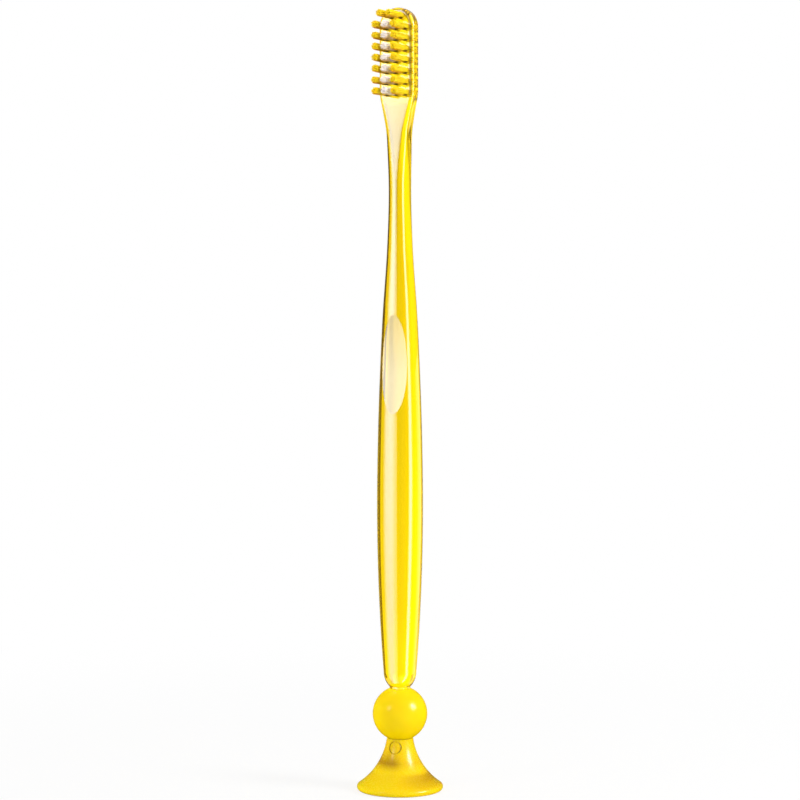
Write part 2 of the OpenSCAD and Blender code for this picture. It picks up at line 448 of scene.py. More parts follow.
def peg_profile():
    """Peg from its chamfered tip up to the shoulder, as (radius, height)."""
    radius = PEG_D / 2
    return [
        (radius - PEG_CHAMFER, PEG_TIP_Z),
        (radius, PEG_TIP_Z + PEG_CHAMFER),
        (radius, SHOULDER_Z - PEG_EDGE_R),
        (radius + LIP_CUT * PEG_EDGE_R, SHOULDER_Z - LIP_CUT * PEG_EDGE_R),
    ]


def model_handle():
    """The whole moulding, from the peg's tip to the tip of the head."""
    peg = peg_profile()
    piece = start_ring(*peg[0], HANDLE_SIDES)
    pull_ring(peg)
    old_r, old_z = peg[-1]
    now = ((old_r, old_r), (0, 0), 0)
    for z in RING_ZS:
        now = next_section(piece, z, now, old_z)
        old_z = z
    close_mesh()
    return piece


handle = model_handle()
print("handle faces:", len(handle.data.polygons))


# %% [markdown]
# ## The thumb rest and the tuft holes
#
# A wide drum laid across the front leaves the shallow oval scoop that the thumb rests in. The
# mould has pins where the tufts go, so the holes are real holes here too: the clear head shows
# them from the side. Cutting them with a Boolean keeps the flat plate flat.

# %% Cut the thumb rest
DRUM_SIDES = 360
RIM_CREASE = 8 * DEG
RIM_MARGIN = 1.0


def drum_place():
    """Radius and centre of the drum, square to the handle's slope."""
    half_l = THUMB_L / 2
    slope = (half_d(THUMB_Z + half_l) - half_d(THUMB_Z - half_l)) / THUMB_L
    radius = (half_l ** 2 + THUMB_DEPTH ** 2) / (2 * THUMB_DEPTH)
    out = Vector((0, -1, -slope)).normalized()
    return radius, Vector((0, -half_d(THUMB_Z), THUMB_Z)) + (radius - THUMB_DEPTH) * out


def thumb_drum():
    """The drum that leaves the scoop."""
    radius, centre = drum_place()
    return fresh(
        bpy.ops.mesh.primitive_cylinder_add, vertices=DRUM_SIDES, radius=radius * MM,
        depth=GRIP_W * MM, location=centre * MM, rotation=(0, math.pi / 2, 0),
    )


def sharpen_rim(piece):
    """Marks the scoop's outline sharp, also at its ends, where it leaves the handle gently."""
    only(piece)
    bpy.ops.object.mode_set(mode="EDIT")
    mesh = bmesh.from_edit_mesh(piece.data)
    reach = (THUMB_L / 2 + RIM_MARGIN) * MM
    marked = 0
    for edge in mesh.edges:
        near = all(abs(vert.co.z - THUMB_Z * MM) < reach and vert.co.y < 0 for vert in edge.verts)
        if near and edge.calc_face_angle(0) > RIM_CREASE:
            edge.smooth = False
            marked += 1
    bmesh.update_edit_mesh(piece.data)
    bpy.ops.object.mode_set(mode="OBJECT")
    return marked


cut(handle, thumb_drum())
print("after the thumb rest:", len(handle.data.polygons), "sharp:", sharpen_rim(handle))

# %% Drill the tuft holes
HOLE_SIDES = 28
PIN_OVER = 1.0


def hole_pins():
    """All the mould's pins as one cutter."""
    pin_l = HOLE_L + PIN_OVER
    pins = []
    for name, x, z in TUFTS:
        pins.append(fresh(
            bpy.ops.mesh.primitive_cylinder_add, vertices=HOLE_SIDES, radius=HOLE_D / 2 * MM,
            depth=pin_l * MM, location=(x * MM, (HOLE_L - FACE_OUT - pin_l / 2) * MM, z * MM),
            rotation=(math.pi / 2, 0, 0),
        ))
    return join(pins)


cut(handle, hole_pins())
handle = finish_piece(handle, "handle_moulding", crease_deg=28)


# %% [markdown]
# ## The tufts
#
# A tuft is a bundle of nylon bristles, folded round a small metal anchor at the bottom of its
# hole. Hair particles could grow the bristles, but they would start on the plate's face and not
# at the bottom of the holes. So one bristle is modelled with a rounded tip, and copies of it in
# a sunflower pattern make one tuft. Every tuft is then a turned copy of that one, pressed round
# its own anchor.

# %% One bristle
BRISTLE_R = 0.105
BRISTLE_SIDES = 6
ROOT_CLEAR = 0.05
ROOT_BITE = 0.04
ROOT_REACH = HOLE_D / 2 + ROOT_BITE - BRISTLE_R
BRISTLE_STEPS = [1.5, 2.9, 4.6, 6.4, 8.2, 10.0]
TIP_STEPS = [(0.09, 0.8), (0.05, 0.45)]


def model_bristle():
    """A bristle that starts at the bottom of the hole, on the origin, and points to -Y."""
    piece = fresh(
        bpy.ops.mesh.primitive_circle_add, vertices=BRISTLE_SIDES, radius=BRISTLE_R * MM,
        fill_type="NGON", rotation=(math.pi / 2, 0, 0),
    )
    bpy.ops.object.transform_apply(rotation=True)
    bpy.ops.object.mode_set(mode="EDIT")
    bpy.ops.mesh.select_all(action="SELECT")
    full_l = HOLE_L - ROOT_CLEAR + BRISTLE_L
    reached = 0
    for at in BRISTLE_STEPS + [full_l - sum(length for length, width in TIP_STEPS)]:
        extrude(0, reached - at, 0)
        reached = at
    old_width = 1
    for length, width in TIP_STEPS:
        extrude(0, -length, 0)
        reached += length
        shrink = width / old_width
        bpy.ops.transform.resize(value=(shrink, 1, shrink), center_override=(0, -reached * MM, 0))
        old_width = width
    close_mesh()
    return piece


bristle = model_bristle()
print("bristle faces:", len(bristle.data.polygons))

# %% One tuft
BRISTLES = 48
GOLDEN_TURN = 137.508 * DEG
SEED = 7
TIP_SCATTER = 0.05
TIP_SHORTEN = 0.4
FAN_POWER = 1.3
draw = random.Random(SEED)


def share_out(place):
    """How far a point of a bristle is from the hole's mouth, as a share of the free length."""
    return held((-place.y / MM - HOLE_L) / BRISTLE_L)


def copy_of(model, name):
    """A copy with a mesh of its own."""
    piece = bpy.data.objects.new(name, model.data.copy())
    bpy.context.collection.objects.link(piece)
    return piece


def model_tuft():
    """One tuft of bristles that fan out and scatter, with its hole's bottom on the origin."""
    tip_reach = TUFT_TIP_D / 2 - BRISTLE_R
    strands = []
    for i in range(BRISTLES):
        radius = ROOT_REACH * math.sqrt((i + 0.5) / BRISTLES)
        turn = i * GOLDEN_TURN
        strand = copy_of(bristle, f"strand_{i}")
        scatter_x = draw.gauss(0, TIP_SCATTER)
        scatter_z = draw.gauss(0, TIP_SCATTER)
        shorten = draw.uniform(0, TIP_SHORTEN)
        for vert in strand.data.vertices:
            along = share_out(vert.co)
            spread = mix(1, tip_reach / ROOT_REACH, along ** FAN_POWER)
            vert.co.x += radius * math.cos(turn) * spread * MM
            vert.co.z += radius * math.sin(turn) * spread * MM
            vert.co.x += scatter_x * along ** 2 * MM
            vert.co.z += scatter_z * along ** 2 * MM
            vert.co.y += shorten * along * MM
        strands.append(strand)
    return join(strands)


tuft_model = model_tuft()
bpy.data.objects.remove(bristle)
print("tuft faces:", len(tuft_model.data.polygons))

# %% All the tufts
COMB = 0.07
PRESS_FADE = 0.5


def press_round_anchor(place):
    """Moves a root's point sideways, clear of the anchor across the hole's bottom."""
    depth_share = held((ANCHOR_H + PRESS_FADE + place.y / MM) / PRESS_FADE)
    side = 1 if place.x >= 0 else -1
    least = ANCHOR_T / 2 + BRISTLE_R
    most = ROOT_REACH + BRISTLE_R
    away = abs(place.x) / MM
    pressed = least + away * (most - least) / most
    place.x = side * mix(away, max(away, pressed), depth_share) * MM
    return place


def place_tuft(index, name, x, z):
    """A copy of the tuft, turned, combed a little to one side and set in its hole."""
    tuft = copy_of(tuft_model, f"{name}_bristles")
    cosine = math.cos(index * GOLDEN_TURN)
    sine = math.sin(index * GOLDEN_TURN)
    comb_x = draw.uniform(-COMB, COMB)
    comb_z = draw.uniform(-COMB, COMB)
    for vert in tuft.data.vertices:
        old = vert.co
        turned = Vector((old.x * cosine - old.z * sine, old.y, old.x * sine + old.z * cosine))
        place = press_round_anchor(turned)
        along = share_out(place)
        place.x += (x + comb_x * along ** 2) * MM
        place.y += (HOLE_L - ROOT_CLEAR - FACE_OUT) * MM
        place.z += (z + comb_z * along ** 2) * MM
        vert.co = place
    return finish_piece(tuft, tuft.name, crease_deg=60)


tufts = {name: place_tuft(index, name, x, z) for index, (name, x, z) in enumerate(TUFTS)}
bpy.data.objects.remove(tuft_model)
print("tufts placed:", len(tufts))


# %% [markdown]
# ## The ball
#
# The soft ball is moulded with a bore for the handle's peg on top and a snap socket below. A
# sphere primitive with its poles opened would do for the skin alone. The bore, the skin and the
# socket are one outline, so a ring that is extruded and resized along it makes all three.

# %% Ball with its bore and socket
BALL_SIDES = 96
BALL_RINGS = 64
LIP_R = 0.15
AXIS_R = 0.3
END_GAP = 0.1


def arc(centre_x, centre_z, radius, start, end, count):
    """Points of an arc, between two angles from straight up."""
    turns = steps(start, end, count) + [end]
    return [(centre_x + radius * math.sin(turn), centre_z + radius * math.cos(turn)) for turn in turns]


def ball_profile():
    """Half outline of the ball: bore bottom, bore, sphere, socket, as (radius, height)."""
    bore_r = PEG_D / 2 + FIT_GAP
    stem_r = STEM_D / 2 + FIT_GAP
    stud_r = STUD_D / 2 + FIT_GAP
    floor_z = PEG_TIP_Z - END_GAP
    roof_z = STUD_Z + STUD_H + END_GAP
    lip_turn = math.asin((bore_r + LIP_R) / BALL_R)
    foot_turn = math.pi - math.asin((stem_r + LIP_R) / BALL_R)
    mouth_z = BALL_Z + BALL_R * math.cos(lip_turn)
    foot_z = BALL_Z + BALL_R * math.cos(foot_turn)
    lip = LIP_CUT * LIP_R
    return [
        (AXIS_R, floor_z), (bore_r, floor_z),
        (bore_r, mouth_z - LIP_R), (bore_r + lip, mouth_z - lip),
        *arc(0, BALL_Z, BALL_R, lip_turn, foot_turn, BALL_RINGS),
        (stem_r + lip, foot_z + lip), (stem_r, foot_z + LIP_R),
        (stem_r, STUD_Z - FIT_GAP), (stud_r, STUD_Z - FIT_GAP),
        (stud_r, roof_z), (AXIS_R, roof_z),
    ]


ball = finish_piece(lathe(ball_profile(), BALL_SIDES), "ball_soft")


# %% [markdown]
# ## The suction cup
#
# The cup is one soft moulding: a stud for the ball, a concave seat, a flared skirt with a
# rounded rim, and a domed hollow. It could be built from four shapes and joined, but seams
# would show. One outline turned like the ball's has none. The small round mark is a groove
# pressed into the front of the neck.

# %% Outline of the cup
CUP_SIDES = 128
SEAT_RINGS = 12
FLARE_RINGS = 40
BEAD_RINGS = 14
HOLLOW_RINGS = 20
RIM_X = CUP_D / 2 - RIM_R


def flare_arc():
    """Centre of the flare's arc and the two angles from straight up that it runs between."""
    start = Vector((CUP_TOP_D / 2, CUP_H))
    rim = Vector((RIM_X, RIM_R))
    gap = rim - start
    along = (gap.length_squared + FLARE_R ** 2 - (FLARE_R + RIM_R) ** 2) / (2 * gap.length)
    aside = math.sqrt(FLARE_R ** 2 - along ** 2)
    way = gap.normalized()
    centre = start + along * way + aside * Vector((-way.y, way.x))
    return centre, math.atan2(*(start - centre)), math.atan2(*(rim - centre))


def cup_profile():
    """Half outline of the cup from the stud's top round to the middle of the hollow."""
    stem_r = STEM_D / 2
    stud_r = STUD_D / 2
    top_z = STUD_Z + STUD_H
    seat_start = math.pi - math.asin(stem_r / SEAT_R)
    seat_end = math.pi - math.asin((CUP_TOP_D / 2 - SEAT_LAND) / SEAT_R)
    centre, start, end = flare_arc()
    hollow_r = ((HOLLOW_D / 2) ** 2 + HOLLOW_H ** 2) / (2 * HOLLOW_H)
    widest = math.asin(HOLLOW_D / 2 / hollow_r)
    return [
        (AXIS_R, top_z), (stud_r - STUD_CHAMFER, top_z), (stud_r, top_z - STUD_CHAMFER),
        (stud_r, STUD_Z), (stem_r, STUD_Z),
        *arc(0, BALL_Z, SEAT_R, seat_start, seat_end, SEAT_RINGS),
        *arc(*centre, FLARE_R, start, end, FLARE_RINGS),
        *arc(RIM_X, RIM_R, RIM_R, end + math.pi, math.pi, BEAD_RINGS)[1:],
        *arc(0, HOLLOW_H - hollow_r, hollow_r, widest, 0, HOLLOW_RINGS)[:-1],
    ]


print("points of the cup's outline:", len(cup_profile()))

# %% Turn the cup and press in its mark
GROOVE_SEGMENTS = (72, 12)


def flare_radius(z):
    """Radius of the cup's flare at a height."""
    centre = flare_arc()[0]
    return centre.x - math.sqrt(FLARE_R ** 2 - (z - centre.y) ** 2)


def mark_groove():
    """A thin ring that lies on the flare, bent to its surface."""
    ring = fresh(
        bpy.ops.mesh.primitive_torus_add, major_segments=GROOVE_SEGMENTS[0],
        minor_segments=GROOVE_SEGMENTS[1], major_radius=MARK_D / 2 * MM,
        minor_radius=MARK_GROOVE_R * MM, rotation=(math.pi / 2, 0, 0),
    )
    bpy.ops.object.transform_apply(rotation=True)
    for vert in ring.data.vertices:
        z = MARK_Z + vert.co.z / MM
        vert.co.y -= math.sqrt(flare_radius(z) ** 2 - (vert.co.x / MM) ** 2) * MM
        vert.co.z = z * MM
    return ring


cup = lathe(cup_profile(), CUP_SIDES)
cut(cup, mark_groove())
cup = finish_piece(cup, "cup_soft")


# %% [markdown]
# ## Node trees in short words
#
# A material is a net of nodes. In the node editor each one is added, set and linked by hand,
# and plain code takes five lines for each. This class keeps those lines in one place, so that a
# mask further down reads like a sum.

# %% A node tree
WHITE = (1, 1, 1, 1)
GIVE_NUMBERS = ("DISTANCE", "LENGTH", "DOT_PRODUCT")


class Graph:
    """A node tree. A value may be another node's socket, or a plain number, vector or colour."""

    def __init__(self, tree):
        self.tree = tree

    def feed(self, socket, value):
        """Links an input to a socket, or sets it to a plain value."""
        if isinstance(value, bpy.types.NodeSocket):
            self.tree.links.new(value, socket)
        else:
            socket.default_value = value

    def add(self, kind, inputs=(), **settings):
        """Adds a node with its settings, and feeds its inputs by name or number."""
        node = self.tree.nodes.new("ShaderNode" + kind)
        for name, value in settings.items():
            setattr(node, name, value)
        for label, value in dict(inputs).items():
            self.feed(node.inputs[label], value)
        return node

    def calc(self, operation, first, second=0):
        """A Math node of one or two numbers."""
        return self.add("Math", {0: first, 1: second}, operation=operation).outputs["Value"]

    def vector(self, operation, first, second=(0, 0, 0)):
        """A Vector Math node of one or two vectors."""
        node = self.add("VectorMath", {0: first, 1: second}, operation=operation)
        return node.outputs["Value" if operation in GIVE_NUMBERS else "Vector"]

    def span(self, value, ends, to_low=0, to_high=1, unit=1, **settings):
        """A Map Range that turns a value between two ends into a share, and holds it there."""
        node = self.add("MapRange", {"Value": value, "To Min": to_low, "To Max": to_high}, **settings)
        self.feed(node.inputs["From Min"], ends[0] * unit)
        self.feed(node.inputs["From Max"], ends[1] * unit)
        return node.outputs["Result"]

    def ramp(self, value, unit, stops):
        """A grey or a colour that follows a value through its (place, level) stops."""
        first = stops[0][0]
        last = stops[-1][0]
        node = self.add("ValToRGB", {"Fac": self.span(value, (first, last), unit=unit)})
        elements = node.color_ramp.elements
        elements.remove(elements[-1])
        for at, level in stops:
            place = (at - first) / (last - first)
            element = elements.new(place) if place else elements[0]
            element.color = level if isinstance(level, tuple) else (level, level, level, 1)
        return node.outputs["Color"]

    def blend(self, mask, usual, special, **settings):
        """A colour that turns from the usual one to the special one where the mask is 1."""
        node = self.add("Mix", {0: mask, 6: usual, 7: special}, data_type="RGBA", **settings)
        return node.outputs[2]

    def choose(self, mask, usual, special):
        """A shader that turns from the usual one to the special one where the mask is 1."""
        return self.add("MixShader", {0: mask, 1: usual, 2: special}).outputs["Shader"]

    def glow(self, kind, colour, strength=1.0):
        """Plain light: a Background in the world, an Emission on a screen."""
        return self.add(kind, {"Color": colour, "Strength": strength}).outputs[0]

    def place(self):
        """The point's place in Object coordinates."""
        return self.add("TexCoord").outputs["Object"]

    def split(self, vector):
        """The X, Y and Z of a vector."""
        return self.add("SeparateXYZ", {"Vector": vector}).outputs


# %% [markdown]
# ## Shared material effects
#
# Moulded plastic is never one flat value. Its gloss drifts a little where it was polished or
# handled, and its colour drifts with the flow in the mould. Both effects are used by several
# materials, so each is a node group with named inputs, placed with its own values.

# %% Node group for drifting colour
DRIFT_INPUTS = [("Scale", "NodeSocketFloat", 100.0), ("Stretch", "NodeSocketVector", (1, 1, 1))]
TINT_SPAN = (0.35, 0.65)
TINT_DETAIL = 3


def new_group(name, detail, inputs, outputs):
    """A group's graph, its input and output sockets, and a noise at its Scale and Stretch."""
    group = bpy.data.node_groups.new(name, "ShaderNodeTree")
    for label, kind, value in inputs + DRIFT_INPUTS:
        socket = group.interface.new_socket(name=label, in_out="INPUT", socket_type=kind)
        socket.default_value = value
    for label, kind in outputs:
        group.interface.new_socket(name=label, in_out="OUTPUT", socket_type=kind)
    graph = Graph(group)
    ends = group.nodes.new("NodeGroupInput").outputs
    out = group.nodes.new("NodeGroupOutput").inputs
    place = graph.vector("MULTIPLY", graph.place(), ends["Stretch"])
    noise = graph.add("TexNoise", {"Vector": place, "Scale": ends["Scale"], "Detail": detail})
    return graph, ends, out, noise.outputs["Fac"]


def make_tint_group():
    """Colour that drifts between two tints along a stretched noise."""
    graph, ends, out, noise = new_group(
        "tint_drift", TINT_DETAIL,
        [("Tint", "NodeSocketColor", WHITE), ("Other Tint", "NodeSocketColor", WHITE)],
        [("Color", "NodeSocketColor")],
    )
    share = graph.span(noise, TINT_SPAN)
    graph.feed(out["Color"], graph.blend(share, ends["Tint"], ends["Other Tint"]))
    return graph.tree


tint_drift = make_tint_group()
print("group:", tint_drift.name)

# %% Node group for gloss and fine relief
GLOSS_SPAN = (0.3, 0.7)
GLOSS_DETAIL = 4


def make_gloss_group():
    """Roughness that drifts, and a normal with a fine stretched relief."""
    graph, ends, out, noise = new_group(
        "gloss_drift", GLOSS_DETAIL,
        [
            ("Roughness", "NodeSocketFloat", 0.1),
            ("Rougher", "NodeSocketFloat", 0.2),
            ("Relief", "NodeSocketFloat", 0.1),
            ("Relief Height", "NodeSocketFloat", 0.00001),
        ],
        [("Roughness", "NodeSocketFloat"), ("Normal", "NodeSocketVector")],
    )
    rough = graph.span(noise, GLOSS_SPAN, ends["Roughness"], ends["Rougher"])
    graph.feed(out["Roughness"], rough)
    relief = {"Strength": ends["Relief"], "Distance": ends["Relief Height"], "Height": noise}
    graph.feed(out["Normal"], graph.add("Bump", relief).outputs["Normal"])
    return graph.tree


gloss_drift = make_gloss_group()
print("group:", gloss_drift.name)


# %% A material with a Principled shader
class Finish(Graph):
    """A material's node tree, whose Principled shader starts with some plain settings."""

    def __init__(self, name, settings):
        self.material = bpy.data.materials.new(name)
        self.material.use_nodes = True
        super().__init__(self.material.node_tree)
        self.shader = self.tree.nodes["Principled BSDF"]
        for label, value in settings.items():
            self.feed(self.shader.inputs[label], value)

    def present(self, label):
        """What feeds one of the shader's inputs so far."""
        return self.shader.inputs[label].links[0].from_socket

    def drift(self, tint, gloss):
        """Feeds the shader from the two shared groups."""
        colour = self.add("Group", tint, node_tree=tint_drift)
        surface = self.add("Group", gloss, node_tree=gloss_drift)
        self.feed(self.shader.inputs["Base Color"], colour.outputs["Color"])
        self.feed(self.shader.inputs["Roughness"], surface.outputs["Roughness"])
        self.feed(self.shader.inputs["Normal"], surface.outputs["Normal"])

    def lay(self, mask, tint, **settings):
        """Lays a tint over the present base colour where the mask is 1."""
        tinted = self.blend(mask, self.present("Base Color"), tint, **settings)
        self.feed(self.shader.inputs["Base Color"], tinted)


# %% [markdown]
# ## Clear yellow plastic
#
# The handle is clear styrene with a yellow dye. Light that crosses it turns golden, and light
# that glances off it stays white. Nearly full transmission with a tinted base colour gives
# both. A Volume Absorption would deepen the tint with the path, but a plain tint that changes
# with the height renders faster. It is lighter at the tail and the head: painted light, for the
# brighter light that comes through there. The thumb rest, the flat throat and the head's rim
# send light to the eye from darker directions, so painted shade deepens their tints.

# %% Tints and painted shade of the handle
# The lighter tail and head tints are painted light, where more light comes through.
TAIL_TINT = (1.0, 0.705, 0.004, 1)
LOW_TINT = (0.86, 0.61, 0.0035, 1)
BODY_TINT = (0.76, 0.536, 0.003, 1)
HEAD_TINT = (1.0, 0.75, 0.012, 1)
TINT_STOPS = [
    (15, TAIL_TINT), (31, TAIL_TINT), (45, LOW_TINT), (86, BODY_TINT), (156, BODY_TINT),
    (165.5, HEAD_TINT), (185, HEAD_TINT),
]
DRIFT_TINT = (1.0, 0.957, 0.5, 1)
# Painted shade on the throat's flat front.
FLAT_PAINTED_SHADE = (0.24, 0.165, 0.003, 1)
FLAT_STOPS = [(130, 0.0), (146, 0.7), (154, 1.0), (162, 1.0), (165.5, 0.0)]
FLAT_FACING = (0.93, 0.98)
# Painted shade on the thumb rest.
SCOOP_PAINTED_SHADE = (0.4, 0.28, 0.003, 1)
SCOOP_ROUGHNESS = 0.07
SCOOP_REACH = 0.01
# Painted shade along the head's rounded edge, on the side the key light leaves dark.
BORDER_PAINTED_SHADE = (0.13, 0.075, 0.001, 1)
BORDER_REACH = (3.0, 3.25)
BORDER_FRONT = (-2.4, -2.58)
BORDER_RISE = 4.0


def from_outside(finish, mask):
    """Keeps a mask for light that meets the surface from outside, so the back stays even."""
    outside = finish.calc("SUBTRACT", 1, finish.add("NewGeometry").outputs["Backfacing"])
    return finish.calc("MULTIPLY", mask, outside)


def scoop_mask(finish, place):
    """Is 1 on the thumb rest, whose surface is the nearest to the drum's axis."""
    radius, centre = drum_place()
    flat = finish.vector("MULTIPLY", place, (0, 1, 1))
    distance = finish.vector("DISTANCE", flat, centre * MM)
    return finish.calc("LESS_THAN", distance, (radius + SCOOP_REACH) * MM)


def flat_mask(finish, z):
    """Is 1 on the throat's flat front, where the plate starts."""
    normal = finish.add("TexCoord").outputs["Normal"]
    flat = finish.span(finish.vector("DOT_PRODUCT", normal, (0, -1, 0)), FLAT_FACING)
    return finish.calc("MULTIPLY", flat, finish.ramp(z, MM, FLAT_STOPS))


def border_mask(finish, place, y, z):
    """Is 1 along the head plate's rounded front edge, on the right and round the tip, for painted
    shade.
    """
    beyond = finish.vector("MAXIMUM", finish.vector("SUBTRACT", place, (0, 0, DOME_Z * MM)))
    reach = finish.vector("LENGTH", finish.vector("MULTIPLY", beyond, (1, 0, 1)))
    away = finish.span(reach, BORDER_REACH, unit=MM)
    front = finish.span(y, BORDER_FRONT, unit=MM)
    high = finish.span(z, (HEAD_Z - BORDER_RISE, HEAD_Z), unit=MM)
    return finish.calc("MULTIPLY", finish.calc("MULTIPLY", away, front), high)


print("tints up the handle:", len(TINT_STOPS))


# %% Handle material
def clear_plastic():
    """Clear plastic tinted by height, painted light and shade, a long shallow relief, a satin scoop.
    """
    finish = Finish("clear_plastic", {"Transmission Weight": 0.93, "IOR": 1.57})
    finish.drift(
        {"Tint": WHITE, "Other Tint": DRIFT_TINT, "Scale": 90.0, "Stretch": (1, 1, 0.2)},
        {
            "Roughness": 0.015, "Rougher": 0.035, "Relief": 0.25, "Relief Height": 0.00001,
            "Scale": 700.0, "Stretch": (1, 1, 0.06),
        },
    )
    place = finish.place()
    x, y, z = finish.split(place)
    # Tint by height; its lighter tail and head are painted light.
    finish.lay(1.0, finish.ramp(z, MM, TINT_STOPS), blend_type="MULTIPLY")
    scoop = scoop_mask(finish, place)
    # Painted shade on the thumb rest, seen from outside.
    finish.lay(from_outside(finish, scoop), SCOOP_PAINTED_SHADE)
    # Painted shade on the throat's flat front, seen from outside.
    finish.lay(from_outside(finish, flat_mask(finish, z)), FLAT_PAINTED_SHADE)
    # Painted shade along the head's rounded edge.
    finish.lay(border_mask(finish, place, y, z), BORDER_PAINTED_SHADE)
    satin = finish.calc("MULTIPLY", scoop, SCOOP_ROUGHNESS)
    rough = finish.calc("MAXIMUM", finish.present("Roughness"), satin)
    finish.feed(finish.shader.inputs["Roughness"], rough)
    return finish.material


handle.data.materials.append(clear_plastic())
print("material:", handle.data.materials[0].name)


# %% [markdown]
# ## Soft yellow rubber
#
# The ball and the cup are a soft elastomer that lets some light in. Light that enters on the
# lit side leaves again nearby, so the shade side stays warm. A plain yellow would look like
# paint, and subsurface scattering over a millimetre or two does not. The ball is satin, and the
# cup has a polished skin. The cup's neck and the edge over its hollow let less light out, so two
# soft bands of painted shade darken them, most on one side, and painted shade also darkens the
# groove of the mark.

# %% Ball and cup material
def soft_rubber(name, tint, other, roughness, rougher, reach, skin):
    """The elastomer, with how deep light reaches and how much polished skin it has."""
    finish = Finish(name, {
        "Coat Weight": skin, "Coat Roughness": 0.18, "Specular IOR Level": 0.6, "IOR": 1.45,
        "Subsurface Weight": 0.6, "Subsurface Radius": (1.0, 0.7, 0.15),
        "Subsurface Scale": reach * MM,
    })
    finish.drift(
        {"Tint": tint, "Other Tint": other, "Scale": 160.0, "Stretch": (1, 1, 1)},
        {
            "Roughness": roughness, "Rougher": rougher, "Relief": 0.12,
            "Relief Height": 0.00002, "Scale": 2600.0, "Stretch": (1, 1, 1),
        },
    )
    return finish


ball_rubber = soft_rubber(
    "ball_rubber", (0.98, 0.71, 0.0, 1), (0.96, 0.68, 0.0, 1),
    roughness=0.2, rougher=0.24, reach=2.5, skin=0.0,
)
cup_rubber = soft_rubber(
    "cup_rubber", (1.0, 0.72, 0.0, 1), (0.99, 0.69, 0.0, 1),
    roughness=0.24, rougher=0.3, reach=0.9, skin=0.4,
)
ball.data.materials.append(ball_rubber.material)
cup.data.materials.append(cup_rubber.material)
print("rubber materials:", ball_rubber.material.name, cup_rubber.material.name)

# %% Painted shade bands of the cup
# Each band's tint is painted shade.
ROOT_SHADE_BAND = {
    "tint": (0.50, 0.27, 0.0, 1),
    "stops": [(5.2, 0.0), (6.3, 0.55), (7.0, 1.0), (7.8, 0.75), (9.2, 0.35), (12.5, 0.1)],
    "way": -50 * DEG, "near": (1.2, 3.1), "least": 0.3,
}
HOLLOW_SHADE_BAND = {
    "tint": (0.58, 0.32, 0.0, 1),
    "stops": [(0.8, 0.0), (2.0, 0.45), (3.3, 0.9), (4.2, 0.9), (4.8, 0.3), (5.4, 0.0)],
    "way": 100 * DEG, "near": (0.5, 7.0), "least": 0.12,
}


def shade_band(finish, band):
    """Paints shade into a soft band round the cup, strongest to one side, where light comes out least.
    """
    place = finish.place()
    z = finish.split(place)["Z"]
    way = (math.sin(band["way"]), -math.cos(band["way"]), 0)
    near = finish.span(finish.vector("DOT_PRODUCT", place, way), band["near"], band["least"], unit=MM)
    finish.lay(finish.calc("MULTIPLY", finish.ramp(z, MM, band["stops"]), near), band["tint"])


# Lays both bands of painted shade.
for band in (ROOT_SHADE_BAND, HOLLOW_SHADE_BAND):
    shade_band(cup_rubber, band)
print("bands from", ROOT_SHADE_BAND["stops"][0][0], "and", HOLLOW_SHADE_BAND["stops"][0][0], "mm up")

# %% Painted shade in the mark's groove
# Painted shade in the groove of the mark.
GROOVE_PAINTED_SHADE = (0.32, 0.17, 0.0, 1)
GROOVE_SHADE = (0.15, 0.75)
GROOVE_ASIDE = (0.3 * MARK_D / 2, 0.8 * MARK_D / 2)


def shade_groove(finish):
    """Paints shade into the cup's ring mark, most at its sides."""
    place = finish.place()
    x, y, z = finish.split(place)
    flat = finish.vector("MULTIPLY", place, (1, 0, 1))
    distance = finish.vector("DISTANCE", flat, (0, 0, MARK_Z * MM))
    off = finish.calc("ABSOLUTE", finish.calc("SUBTRACT", distance, MARK_D / 2 * MM))
    ring = finish.calc("LESS_THAN", off, MARK_GROOVE_R * MM)
    mask = finish.calc("MULTIPLY", ring, finish.calc("LESS_THAN", y, 0))
    share = finish.span(finish.calc("ABSOLUTE", x), GROOVE_ASIDE, *GROOVE_SHADE, unit=MM)
    finish.lay(finish.calc("MULTIPLY", mask, share), GROOVE_PAINTED_SHADE)


shade_groove(cup_rubber)
print("groove", MARK_D, "mm across at", MARK_Z, "mm")


# %% [markdown]
# ## Nylon bristles
#
# The bristles of a tuft differ a little in tint, and each is even along its length. Noise that
# is fine across the tuft and stretched along it gives every bristle its own tint. Nylon is
# slightly glossy and lets light through, so tufts look soft. Little light gets between two
# rows, so painted shade darkens the lower side of each row, nearly to black near the plate,
# and painted shade also darkens the roots in the holes and the holes' mouths. Rendered
# shadows alone leave those gaps brighter than the photo's, so these masks paint the shade.

# %% Bristle materials
# The tints below are painted shade: under each row, dark dashes, roots and hole mouths.
ROW_SHADE = (0.66, 0.82)
DASH_SHADE = (0.64, 0.7)
DASH_REACH = (-2.8, -1.6)
DASH_PAINTED_SHADE = (0.05, 0.003, 0.0, 1)
ROOT_SHADE = (0.1, 0.5)
ROOT_PAINTED_SHADE = (0.80, 0.50, 0.02, 1)
MOUTH_SHADE = (0.3, 0)
MOUTH_PAINTED_SHADE = (0.36, 0.14, 0.002, 1)


def share_of_row(finish, z):
    """Runs from 0 to 1 down every row of tufts, whose rows repeat at one pitch."""
    below = finish.calc("SUBTRACT", (TOTAL_H - FIRST_ROW + ROW_PITCH / 2) * MM, z)
    return finish.calc("FRACT", finish.calc("DIVIDE", below, ROW_PITCH * MM))


